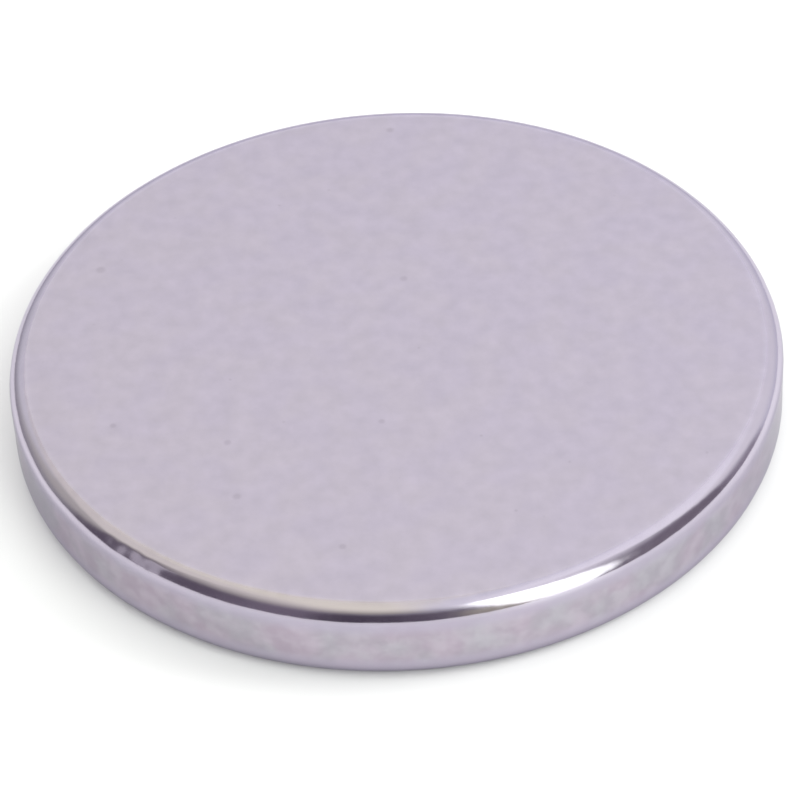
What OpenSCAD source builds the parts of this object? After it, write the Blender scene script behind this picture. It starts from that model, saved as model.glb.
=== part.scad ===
// Disc magnet: a thin sintered disc, plated all over, with flat faces, a straight rim and tumbled edges.
// Units are millimetres. The origin is the centre of the lower face, and +Z is the axis of the disc.

/* [Disc] */
// Outer diameter, over the plating
diameter = 18; // [8:0.5:50]
// Thickness from face to face, over the plating
thickness = 2; // [1:0.1:10]

/* [Edges] */
// Radius of the round between the upper face and the rim
upper_edge_r = 0.45; // [0.1:0.05:1]
// Radius of the round between the lower face and the rim
lower_edge_r = 0.45; // [0.1:0.05:1]

/* [Hidden] */
$fn = 256;
radius = diameter / 2;
// The straight band of rim that is always left between the two edge rounds
least_rim = 0.1;
largest_edge_r = (thickness - least_rim) / 2;
upper_r = min(upper_edge_r, largest_edge_r);
lower_r = min(lower_edge_r, largest_edge_r);

// Half of the disc's section, from the axis out to the rim, with a true arc at each outer corner
module disc_section(radius, thickness, upper_r, lower_r) {
    // The straight rim, between the two rounds
    translate([0, lower_r]) square([radius, thickness - upper_r - lower_r]);
    // The upper half, out to the edge of the flat upper face
    translate([0, thickness / 2]) square([radius - upper_r, thickness / 2]);
    // The lower half, out to the edge of the flat lower face
    square([radius - lower_r, thickness / 2]);
    // The two rounded corners
    translate([radius - upper_r, thickness - upper_r]) circle(r = upper_r);
    translate([radius - lower_r, lower_r]) circle(r = lower_r);
}

// The magnet is pressed and sintered as one piece, and its plating is a skin a few microns thick
module magnet() {
    color("thistle") rotate_extrude() disc_section(radius, thickness, upper_r, lower_r);
}

magnet();
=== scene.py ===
import math

import bpy
from mathutils import Matrix, Quaternion, Vector, noise


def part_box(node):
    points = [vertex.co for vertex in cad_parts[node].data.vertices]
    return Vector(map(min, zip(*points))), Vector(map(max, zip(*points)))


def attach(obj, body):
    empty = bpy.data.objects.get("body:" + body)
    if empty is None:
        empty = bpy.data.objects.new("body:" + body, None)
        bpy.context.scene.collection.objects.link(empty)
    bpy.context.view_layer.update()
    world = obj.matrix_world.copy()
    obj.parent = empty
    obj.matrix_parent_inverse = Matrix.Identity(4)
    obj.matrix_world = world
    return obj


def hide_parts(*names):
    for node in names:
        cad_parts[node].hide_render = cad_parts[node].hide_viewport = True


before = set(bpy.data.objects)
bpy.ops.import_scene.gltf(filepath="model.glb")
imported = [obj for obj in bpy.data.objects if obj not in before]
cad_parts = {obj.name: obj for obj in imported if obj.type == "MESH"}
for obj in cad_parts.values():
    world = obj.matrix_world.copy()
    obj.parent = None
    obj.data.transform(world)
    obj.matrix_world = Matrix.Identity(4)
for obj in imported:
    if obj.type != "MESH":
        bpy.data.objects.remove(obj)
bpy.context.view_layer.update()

MM = 0.001
MICRON = 0.001 * MM

# ------------------------------------------------------------------ the disc, from the frame
low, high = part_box("magnet")
RADIUS = (high.x - low.x) / 2
THICKNESS = high.z - low.z
SEAT = Vector((0, 0, low.z))                    # centre of the lower face
CENTRE = SEAT + Vector((0, 0, THICKNESS / 2))
EDGE_R = 0.45 * MM                              # the round between a face and the rim
FLAT_R = RADIUS - EDGE_R                        # where the flat face ends

# ------------------------------------------------------------------ how finely it is cut
SEGMENTS = 1080                                 # steps round the axis
FACE_RINGS = 14                                 # rings on each flat face
ROUND_RINGS = 24                                # rings on each edge round
RIM_RINGS = 12                                  # rings down the straight rim

# ------------------------------------------------------------------ tumbling and wear
# Each wave of unevenness on the tumbled edge: its grain, its height and a shift of the pattern
EDGE_WAVES = (
    (1.60 * MM, 0.0060 * MM, Vector((0.0, 0.0, 0.0))),
    (0.50 * MM, 0.0030 * MM, Vector((7.1, 3.3, 5.9))),
    (0.22 * MM, 0.0008 * MM, Vector((2.6, 8.4, 1.2))),
)
# The one wave on the ground faces, in the same order
FACE_WAVE = (3.2 * MM, 0.0006 * MM, Vector((1.7, 9.2, 4.4)))
# Dings along a scuffed stretch of the upper edge: turn from the front in degrees, tilt, width, depth
DINGS = (
    (-46.6, 40, 0.20 * MM, 0.010 * MM),
    (-44.2, 58, 0.24 * MM, 0.014 * MM),
    (-41.4, 44, 0.26 * MM, 0.012 * MM),
    (-39.0, 60, 0.18 * MM, 0.009 * MM),
)
DING_REACH = 5                                  # degrees of turn, past which a ding has died away
# Faint pits in the plating of the upper face: x, y and radius, in millimetres
PITS = (
    (0.3, 2.2, 0.10),
    (-6.9, 3.2, 0.12),
    (-1.4, -6.8, 0.09),
    (-3.7, -5.0, 0.10),
    (-6.5, -2.4, 0.08),
    (-3.9, -3.2, 0.09),
    (0.2, 8.0, 0.10),
    (-0.4, -2.8, 0.08),
)


def wave(place, grain, size, shift):
    return size * noise.noise(place / grain + shift)


def front_turn(degrees):
    """Unit vector in the plane of the disc; 0 is the front (-Y) and 90 the right (+X)."""
    turn = math.radians(degrees)
    return Vector((math.sin(turn), -math.cos(turn), 0))


def section():
    """The half section as (radius, height, tilt), from the upper centre out and down to the lower centre.

    tilt is the angle from straight up to the outward normal, in radians."""
    upper, lower = THICKNESS - EDGE_R, EDGE_R
    points = []
    for i in range(1, FACE_RINGS):
        points.append((FLAT_R * i / FACE_RINGS, THICKNESS, 0.0))
    for i in range(ROUND_RINGS + 1):
        tilt = math.pi / 2 * i / ROUND_RINGS
        points.append((FLAT_R + EDGE_R * math.sin(tilt), upper + EDGE_R * math.cos(tilt), tilt))
    for i in range(1, RIM_RINGS):
        points.append((RADIUS, upper + (lower - upper) * i / RIM_RINGS, math.pi / 2))
    for i in range(ROUND_RINGS + 1):
        tilt = math.pi / 2 * (1 + i / ROUND_RINGS)
        points.append((FLAT_R + EDGE_R * math.sin(tilt), lower + EDGE_R * math.cos(tilt), tilt))
    for i in range(1, FACE_RINGS):
        points.append((FLAT_R * (1 - i / FACE_RINGS), 0.0, math.pi))
    return points


def on_upper_edge(turn, tilt):
    """The place on the upper edge round at a turn in degrees and a tilt in radians."""
    out = front_turn(turn) * (FLAT_R + EDGE_R * math.sin(tilt))
    return SEAT + out + Vector((0, 0, THICKNESS - EDGE_R + EDGE_R * math.cos(tilt)))


def unevenness(place, tilt, turn):
    """How far the surface stands off the true form at a place, along its normal."""
    edge = math.sin(tilt) ** 2
    stand = edge * sum(wave(place, *each) for each in EDGE_WAVES)
    stand += (1 - edge) * wave(place, *FACE_WAVE)
    if tilt > math.pi / 2:
        stand -= (1 - edge) * FACE_WAVE[1]      # keeps the lower face from passing through the floor
    if 0 < tilt < math.pi / 2:
        for ding_turn, ding_tilt, width, depth in DINGS:
            if abs(turn - ding_turn) < DING_REACH:
                away = (place - on_upper_edge(ding_turn, math.radians(ding_tilt))).length / width
                stand -= depth * math.exp(-away ** 2)
    return stand


def add_object(name, data):
    made = bpy.data.objects.new(name, data)
    bpy.context.scene.collection.objects.link(made)
    return made


def build_disc():
    """The whole magnet as one closed surface, turned about its axis and a little uneven from tumbling."""
    rings = section()
    points = [SEAT + Vector((0, 0, THICKNESS))]
    for radius, height, tilt in rings:
        for k in range(SEGMENTS):
            turn = 360 * k / SEGMENTS - 180
            out = front_turn(turn)
            place = SEAT + out * radius + Vector((0, 0, height))
            normal = out * math.sin(tilt) + Vector((0, 0, math.cos(tilt)))
            points.append(place + normal * unevenness(place, tilt, turn))
    points.append(SEAT.copy())
    faces = []
    last, end = 1 + (len(rings) - 1) * SEGMENTS, len(points) - 1
    for k in range(SEGMENTS):
        turned = (k + 1) % SEGMENTS
        faces.append((0, 1 + k, 1 + turned))
        for ring in range(1, last, SEGMENTS):
            faces.append((ring + k, ring + SEGMENTS + k, ring + SEGMENTS + turned, ring + turned))
        faces.append((end, last + turned, last + k))
    mesh = bpy.data.meshes.new("plated_disc")
    mesh.from_pydata(points, [], faces)
    mesh.polygons.foreach_set("use_smooth", [True] * len(mesh.polygons))
    mesh.update()
    return add_object("plated_disc", mesh)


# ------------------------------------------------------------------ node trees
MIX_FACTOR, MIX_A, MIX_B, MIX_RESULT = 0, 6, 7, 2    # the sockets that a Mix node uses for colours


class Tree:
    """A node tree with short calls. A value given to an input is a link if it is a socket."""

    def __init__(self, tree):
        self.tree = tree

    def add(self, kind, inputs=(), **settings):
        made = self.tree.nodes.new("ShaderNode" + kind)
        for name, value in settings.items():
            setattr(made, name, value)
        for key, value in dict(inputs).items():
            if isinstance(value, bpy.types.NodeSocket):
                self.tree.links.new(value, made.inputs[key])
            else:
                made.inputs[key].default_value = value
        return made

    def math(self, operation, a, b=0.0):
        return self.add("Math", {0: a, 1: b}, operation=operation).outputs[0]

    def vector(self, operation, a, b=(0, 0, 0)):
        return self.add("VectorMath", {0: a, 1: b}, operation=operation).outputs["Vector"]

    def length(self, a):
        return self.add("VectorMath", {0: a}, operation="LENGTH").outputs["Value"]

    def dot(self, a, b):
        return self.add("VectorMath", {0: a, 1: b}, operation="DOT_PRODUCT").outputs["Value"]

    def blend(self, factor, a, b):
        """Colour a where factor is 0, colour b where it is 1."""
        inputs = {MIX_FACTOR: factor, MIX_A: a, MIX_B: b}
        return self.add("Mix", inputs, data_type="RGBA").outputs[MIX_RESULT]

    def step(self, value, start, end, low=0.0, high=1.0):
        """Runs smoothly from low to high as value goes from start to end."""
        inputs = {"Value": value, "From Min": start, "From Max": end, "To Min": low, "To Max": high}
        return self.add("MapRange", inputs, interpolation_type="SMOOTHSTEP").outputs["Result"]

    def tones(self, value, first, *changes):
        """The colour first, which gives way to each next one; a change is (start, end, colour)."""
        tone = first
        for start, end, following in changes:
            tone = self.blend(self.step(value, start, end), tone, following)
        return tone

    def noise(self, place, scale, detail):
        inputs = {"Vector": place, "Scale": scale, "Detail": detail}
        return self.add("TexNoise", inputs).outputs[0]


def colour(red, green, blue):
    return (red, green, blue, 1.0)


# ------------------------------------------------------------------ nickel plating
# Colours. A pair holds the two hues between which the plating drifts
FACE_DARK = (colour(0.481, 0.438, 0.536), colour(0.487, 0.444, 0.530))
FACE_LIGHT = (colour(0.628, 0.570, 0.690), colour(0.634, 0.576, 0.684))
RIM_DARK = (colour(0.415, 0.356, 0.423), colour(0.386, 0.365, 0.411))
RIM_LIGHT = (colour(0.489, 0.430, 0.502), colour(0.464, 0.441, 0.491))
RIM_BORDER = colour(0.445, 0.405, 0.502)        # along both borders of the rim
PAINTED_FOOT_SHADE = colour(0.335, 0.302, 0.380)          # painted contact shade along the foot of the rim and the lower edge round
POLISHED = colour(0.60, 0.55, 0.645)            # the upper edge round
PIT_FLOOR = colour(0.33, 0.30, 0.35)
# Tints that keep the plating from whitening where it is seen edge on
EDGE_TINT = colour(0.72, 0.71, 0.75)
FACE_TINT = colour(0.62, 0.61, 0.65)

# How fine each pattern is, in features per millimetre, and its detail
GRAIN = (2.4, 5.0)
HUE = (0.9, 2.0)
PEEL = (1.6, 1.0)
PIT_CELLS = 1.6                                 # cells per millimetre; some of them hold a pit

# The values of a pattern between which it runs from nothing to full
HUE_SPAN = (0.35, 0.65)
CLOUD_SPAN = (0.30, 0.70)
PIT_CHOICE = (0.55, 1.0)                        # which cells hold a pit
PIT_SPAN = (0.09, 0.03)                         # from a cell's centre, in widths of a cell
PLACED_PIT_SPAN = (1.4, 0.4)                    # in radii of the pit

# Where one finish gives way to the next, in millimetres
FACE_GLOSS_FADE = (0.14, -0.08)                 # past the end of the flat face
FACE_COLOUR_FADE = (0.30, 0.0)                  # past the end of the flat face
RIM_GLOSS_FADE = (0.10, 0.0)                    # past the straight rim
POLISH_FADE = (0.05, 0.25)                      # above the straight rim
RIM_BORDER_FADE = (0.25, 0.60)                  # from the middle of the rim
PAINTED_FOOT_SHADE_FADE = (0.55, 0.20)                    # above the lower face, over which the painted contact shade fades out
# How much of each colour shows where it is strongest
RIM_BORDER_SHARE = 0.75
# The share of the painted contact shade at the foot of the rim
PAINTED_FOOT_SHADE_SHARE = 0.8
PIT_SHARE = 0.14

# Roughness of the polished edge rounds, and what each other finish adds to it
EDGE_ROUGHNESS = 0.15
FACE_ROUGHNESS = 0.30
RIM_ROUGHNESS = 0.06
GRAIN_ROUGHNESS = 0.10
PIT_ROUGHNESS = 0.12

# Heights of the relief, in microns
GRAIN_RELIEF = 1.4
PEEL_RELIEF = 3.0
PIT_RELIEF = 0.4


def plating():
    """Bright nickel: satin ground faces, polished edge rounds and a cloudier rim."""
    material = bpy.data.materials.new("nickel_plating")
    material.use_nodes = True
    shader = material.node_tree.nodes["Principled BSDF"]
    t = Tree(material.node_tree)
    link = material.node_tree.links.new

    # Places in millimetres from the centre of the lower face
    flat = FLAT_R / MM
    rim_half = (THICKNESS / 2 - EDGE_R) / MM
    rim_top = (THICKNESS - EDGE_R) / MM
    place = t.vector("MULTIPLY", t.add("TexCoord").outputs["Object"], (1 / MM,) * 3)
    across = t.length(t.vector("MULTIPLY", place, (1, 1, 0)))
    up = t.add("SeparateXYZ", {0: place}).outputs["Z"]
    off_middle = t.math("ABSOLUTE", t.math("SUBTRACT", up, THICKNESS / 2 / MM))
    on_face = t.step(across, *(flat + past for past in FACE_GLOSS_FADE))
    on_rim = t.step(off_middle, *(rim_half + past for past in RIM_GLOSS_FADE))

    # Colour: a cloudy grain everywhere, patches that drift between two hues, a duller rim and painted
    # contact shade at its foot
    grain = t.noise(place, *GRAIN)
    hue = t.step(t.noise(place, *HUE), *HUE_SPAN)
    face = t.blend(grain, t.blend(hue, *FACE_DARK), t.blend(hue, *FACE_LIGHT))
    cloud = t.step(grain, *CLOUD_SPAN)
    rim = t.blend(cloud, t.blend(hue, *RIM_DARK), t.blend(hue, *RIM_LIGHT))
    rim = t.blend(t.step(off_middle, *RIM_BORDER_FADE, 0.0, RIM_BORDER_SHARE), rim, RIM_BORDER)
    # The foot of the rim and the lower edge round are darkened as painted contact shade
    rim = t.blend(t.step(up, *PAINTED_FOOT_SHADE_FADE, 0.0, PAINTED_FOOT_SHADE_SHARE), rim, PAINTED_FOOT_SHADE)
    tone = t.blend(t.step(up, *(rim_top + above for above in POLISH_FADE)), rim, POLISHED)
    tone = t.blend(t.step(across, *(flat + past for past in FACE_COLOUR_FADE)), tone, face)

    # Pits: a sparse scatter of specks everywhere, and the few that show on the upper face
    cells = t.add("TexVoronoi", {"Vector": place, "Scale": PIT_CELLS})
    draw = t.add("SeparateColor", {0: cells.outputs["Color"]}).outputs[0]
    chosen = t.step(draw, *PIT_CHOICE)
    pits = t.math("MULTIPLY", t.step(cells.outputs["Distance"], *PIT_SPAN), chosen)
    for x, y, radius in PITS:
        spot = t.length(t.vector("SUBTRACT", place, (x, y, THICKNESS / MM)))
        pits = t.math("MAXIMUM", pits, t.step(spot, *(radius * share for share in PLACED_PIT_SPAN)))
    tone = t.blend(t.math("MULTIPLY", pits, PIT_SHARE), tone, PIT_FLOOR)
    link(tone, shader.inputs["Base Color"])

    # Gloss: the edge rounds are polished by tumbling, the faces keep a satin grain
    gloss = t.math("ADD", EDGE_ROUGHNESS, t.math("MULTIPLY", on_face, FACE_ROUGHNESS))
    gloss = t.math("ADD", gloss, t.math("MULTIPLY", on_rim, RIM_ROUGHNESS))
    off_mean = t.math("SUBTRACT", grain, 0.5)
    gloss = t.math("ADD", gloss, t.math("MULTIPLY", off_mean, GRAIN_ROUGHNESS))
    gloss = t.math("ADD", gloss, t.math("MULTIPLY", pits, PIT_ROUGHNESS))
    link(gloss, shader.inputs["Roughness"])
    shader.inputs["Metallic"].default_value = 1.0
    link(t.blend(on_face, EDGE_TINT, FACE_TINT), shader.inputs["Specular Tint"])

    # Relief: the grain, a soft orange peel and the pits
    peel = t.noise(place, *PEEL)
    height = t.math("ADD", t.math("MULTIPLY", grain, GRAIN_RELIEF), t.math("MULTIPLY", peel, PEEL_RELIEF))
    height = t.math("SUBTRACT", height, t.math("MULTIPLY", pits, PIT_RELIEF))
    bump = t.add("Bump", {"Height": height, "Distance": MICRON})
    link(bump.outputs["Normal"], shader.inputs["Normal"])
    return material


# ------------------------------------------------------------------ room
# Brightness of the room by direction, beside a white of 1
DOME = colour(1.18, 1.18, 1.18)
WALL_BACK = colour(1.094, 1.103, 1.121)
WALL_SIDE = colour(0.85, 0.86, 0.87)
WALL_HIGH = colour(0.87, 0.855, 0.78)
WALL_LEFT = colour(0.57, 0.56, 0.505)
WALL_RIGHT = colour(0.98, 0.98, 0.99)
HORIZON_LEFT = colour(0.360, 0.356, 0.372)
HORIZON_RIGHT = colour(0.78, 0.79, 0.86)
CEILING_CORNER = colour(0.93, 0.91, 0.79)
CEILING_LEFT = colour(1.08, 1.07, 0.86)
CEILING_MIDDLE = colour(0.95, 0.97, 1.02)
CEILING_RIGHT = colour(1.175, 1.185, 1.196)
UNLIT_FRONT = colour(0.088, 0.072, 0.099)
UNLIT_PATCH = colour(0.210, 0.180, 0.225)
UNLIT_MIDDLE = colour(0.155, 0.131, 0.168)
UNLIT_LEFT = colour(0.145, 0.127, 0.151)
UNLIT_RIGHT = colour(0.220, 0.192, 0.230)
UNLIT_CORNER = colour(0.36, 0.33, 0.38)
TABLE_EDGE = colour(0.43, 0.41, 0.33)

# Where its tones change. A direction's side runs from -1 at the left to 1 at the right, and its ahead
# from -1 behind to 1 in front. Its rise is in degrees above the floor.
HORIZON_SIDE = (-0.95, 0.10)                    # from the left of the horizon to the right
WALL_FOOT_RISE = (0, 32)                        # from the horizon up to the wall
WALL_HIGH_RISE = (36, 44)                       # from the middle of the side wall to its top
WALL_LEFT_SIDE = (-0.92, -0.60)                 # from the left wall to the side wall
WALL_BACK_SIDE = (-0.42, -0.14)                 # on to the back wall
WALL_RIGHT_SIDE = (0.20, 0.60)                  # and on to the right wall
CEILING_RISE = (44, 51)                         # from the walls to the ceiling
CEILING_DIP = 6.0                               # degrees that the ceiling's border drops to each side
# Across the ceiling from left to right, for the direction's x
CEILING = (
    (-0.36, -0.18, CEILING_LEFT),
    (0.0, 0.06, CEILING_MIDDLE),
    (0.10, 0.22, CEILING_RIGHT),
)
# The unlit front
PATCH_SIDE = (-0.36, -0.50)                     # a paler patch starts here
PATCH_END = (-0.90, -0.62, 0.35, 1.0)           # and falls to a third of itself out here
MIDDLE_SIDE = (-0.16, 0.20)                     # from its left half to its middle
LEFT_CORNER_SIDE = (-0.20, -0.80)               # a corner lies to one side and a little behind
LEFT_CORNER_AHEAD = (0.02, -0.22)
RIGHT_SIDE = (0.60, 0.90)                       # from its middle to its right end
RIGHT_CORNER_AHEAD = (0.0, -0.16)
# How far round it reaches, as ahead at the far left and at the far right
FRONT_START = (-0.26, -0.42)
FRONT_FULL = (0.0, -0.28)
# How high it reaches, and how much lower that is in the right corner
FRONT_TOP, FRONT_TOP_DROP = 80.0, 40.0
FRONT_FULL_RISE, FRONT_FULL_DROP = 32.0, 22.0
# A warm stretch beside and below the key lamp: its turn from the front, the cosine of the turn away
# from that over which it fades in, and the rise over which it does
TABLE_EDGE_TURN = 23
TABLE_EDGE_COSINE = (0.9816, 0.9925)
TABLE_EDGE_RISE = (40, 18)


def build_world():
    """A pale room with a lit back and ceiling, and an unlit front where the photographer stands.

    Only reflections show the room: everything else is lit as by a plain white dome."""
    world = bpy.data.worlds.new("studio")
    world.use_nodes = True
    t = Tree(world.node_tree)
    way = t.add("TexCoord").outputs["Generated"]
    x, y, z = t.add("SeparateXYZ", {0: way}).outputs
    flat_way = t.vector("MULTIPLY", way, (1, 1, 0))
    level = t.math("MAXIMUM", t.length(flat_way), 0.001)       # never 0, as it is divided by
    ahead = t.math("DIVIDE", t.math("MULTIPLY", y, -1.0), level)
    side = t.math("DIVIDE", x, level)
    rise = t.math("DEGREES", t.math("ARCSINE", z))

    # The walls and the ceiling
    horizon = t.tones(side, HORIZON_LEFT, (*HORIZON_SIDE, HORIZON_RIGHT))
    side_wall = t.tones(rise, WALL_SIDE, (*WALL_HIGH_RISE, WALL_HIGH))
    beside = (*WALL_LEFT_SIDE, side_wall)
    behind = (*WALL_BACK_SIDE, WALL_BACK)
    wall = t.tones(side, WALL_LEFT, beside, behind, (*WALL_RIGHT_SIDE, WALL_RIGHT))
    backdrop = t.tones(rise, horizon, (*WALL_FOOT_RISE, wall))
    overhead = t.tones(x, CEILING_CORNER, *CEILING)
    dip = t.math("MULTIPLY", t.math("ABSOLUTE", x), CEILING_DIP)
    lit = t.tones(t.math("ADD", rise, dip), backdrop, (*CEILING_RISE, overhead))

    # The unlit front
    left_corner = t.math("MULTIPLY", t.step(side, *LEFT_CORNER_SIDE), t.step(ahead, *LEFT_CORNER_AHEAD))
    to_right = t.step(side, *RIGHT_SIDE)
    right_corner = t.math("MULTIPLY", to_right, t.step(ahead, *RIGHT_CORNER_AHEAD))
    patch = t.math("MULTIPLY", t.step(side, *PATCH_SIDE), t.step(side, *PATCH_END))
    unlit = t.blend(patch, UNLIT_FRONT, UNLIT_PATCH)
    unlit = t.blend(t.step(side, *MIDDLE_SIDE), unlit, UNLIT_MIDDLE)
    unlit = t.blend(left_corner, unlit, UNLIT_LEFT)
    unlit = t.blend(to_right, unlit, UNLIT_RIGHT)
    unlit = t.blend(right_corner, unlit, UNLIT_CORNER)
    cosine = t.dot(t.vector("NORMALIZE", flat_way), front_turn(TABLE_EDGE_TURN))
    by_lamp = t.math("MULTIPLY", t.step(cosine, *TABLE_EDGE_COSINE), t.step(rise, *TABLE_EDGE_RISE))
    unlit = t.blend(by_lamp, unlit, TABLE_EDGE)

    # How far the front reaches round and up
    start = t.step(side, -1.0, 1.0, *FRONT_START)
    full = t.step(side, -1.0, 1.0, *FRONT_FULL)
    top = t.math("SUBTRACT", FRONT_TOP, t.math("MULTIPLY", right_corner, FRONT_TOP_DROP))
    full_rise = t.math("SUBTRACT", FRONT_FULL_RISE, t.math("MULTIPLY", right_corner, FRONT_FULL_DROP))
    in_front = t.math("MULTIPLY", t.step(ahead, start, full), t.step(rise, top, full_rise))
    room = t.blend(in_front, lit, unlit)
    seen = t.blend(t.add("LightPath").outputs["Is Glossy Ray"], DOME, room)
    world.node_tree.links.new(seen, world.node_tree.nodes["Background"].inputs["Color"])
    bpy.context.scene.world = world


# ------------------------------------------------------------------ lamps
WHITE = (1.0, 1.0, 1.0)
GREENISH = (1.0, 1.08, 0.98)                    # looks white in the violet plating

# Each lamp: where it stands, in degrees and metres, how far its top leans to the right, and its size.
# Its radiance is how bright it looks beside a white of 1.
KEY = dict(azimuth=39.5, elevation=32.5, distance=0.20, lean=0, width=0.114, height=0.28, radiance=1.80)
STRIP = dict(azimuth=-75, elevation=22, distance=0.30, lean=-12, width=0.046, height=0.24, radiance=0.43)
FILL = dict(azimuth=92, elevation=32, distance=0.30, lean=0, width=0.12, height=0.12, radiance=7.5)


def direction(azimuth, elevation):
    """Unit vector from the disc; azimuth 0 is its front (-Y), 90 its right (+X), both in degrees."""
    rise = math.radians(elevation)
    return front_turn(azimuth) * math.cos(rise) + Vector((0, 0, math.sin(rise)))


def softbox(name, place, shape="RECTANGLE", tint=WHITE):
    """A soft light that faces the disc."""
    light = bpy.data.lights.new(name, "AREA")
    light.color = tint
    light.shape = shape
    light.size, light.size_y = place["width"], place["height"]
    area = place["width"] * place["height"] * (math.pi / 4 if shape == "ELLIPSE" else 1)
    light.energy = place["radiance"] * math.pi * area
    lamp = add_object(name, light)
    away = direction(place["azimuth"], place["elevation"])
    lean = Quaternion((0, 0, 1), math.radians(-place["lean"]))
    lamp.location = CENTRE + away * place["distance"]
    lamp.rotation_mode = "QUATERNION"
    lamp.rotation_quaternion = away.to_track_quat("Z", "Y") @ lean
    return lamp


# ------------------------------------------------------------------ floor
FLOOR_HALF = 3.0                                # metres from its middle to each side
FLOOR_TONE = colour(0.87, 0.87, 0.87)
FLOOR_ROUGHNESS = 0.4


def build_floor():
    corners = [(-1, -1), (1, -1), (1, 1), (-1, 1)]
    mesh = bpy.data.meshes.new("floor")
    mesh.from_pydata([(x * FLOOR_HALF, y * FLOOR_HALF, low.z) for x, y in corners], [], [(0, 1, 2, 3)])
    floor = add_object("floor", mesh)
    material = bpy.data.materials.new("floor")
    material.use_nodes = True
    shader = material.node_tree.nodes["Principled BSDF"]
    shader.inputs["Base Color"].default_value = FLOOR_TONE
    shader.inputs["Roughness"].default_value = FLOOR_ROUGHNESS
    mesh.materials.append(material)


# ------------------------------------------------------------------ camera
CAMERA_ELEVATION = 41.2         # degrees above the floor
CAMERA_ROLL = 3.43              # degrees; the disc's right side is up in the picture
CAMERA_DISTANCE = 9.35 * RADIUS
DISC_SHARE = 0.4805             # the disc's radius over the picture's width
AIM_RIGHT = 0.0092 * RADIUS     # the camera looks a little right of the disc's centre
AIM_DOWN = 0.0725 * RADIUS      # and a little below it
SENSOR_WIDTH = 36.0             # millimetres, as the lens is
CLIP_NEAR = 1 * MM
CLIP_FAR = 20.0                 # metres


def build_camera():
    data = bpy.data.cameras.new("camera")
    data.sensor_width = SENSOR_WIDTH
    data.lens = data.sensor_width * DISC_SHARE * CAMERA_DISTANCE / RADIUS
    data.clip_start = CLIP_NEAR
    data.clip_end = CLIP_FAR
    camera = add_object("camera", data)
    back = direction(0, CAMERA_ELEVATION)
    roll = Matrix.Rotation(math.radians(-CAMERA_ROLL), 3, "Z").to_quaternion()
    level = back.to_track_quat("Z", "Y") @ roll
    aim = CENTRE + level @ Vector((AIM_RIGHT, -AIM_DOWN, 0))
    camera.location = CENTRE + back * CAMERA_DISTANCE
    nod = back.rotation_difference(camera.location - aim)
    camera.rotation_mode = "QUATERNION"
    camera.rotation_quaternion = nod @ level
    bpy.context.scene.camera = camera


# ------------------------------------------------------------------ all together
build_camera()
disc = build_disc()
disc.data.materials.append(plating())
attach(disc, "root")
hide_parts("magnet")

build_floor()
build_world()
softbox("key_softbox", KEY, shape="ELLIPSE", tint=GREENISH)
softbox("side_strip", STRIP)
fill = softbox("fill", FILL)
fill.visible_glossy = False     # it lights the floor and isn't mirrored
bpy.context.scene.view_settings.view_transform = "Standard"
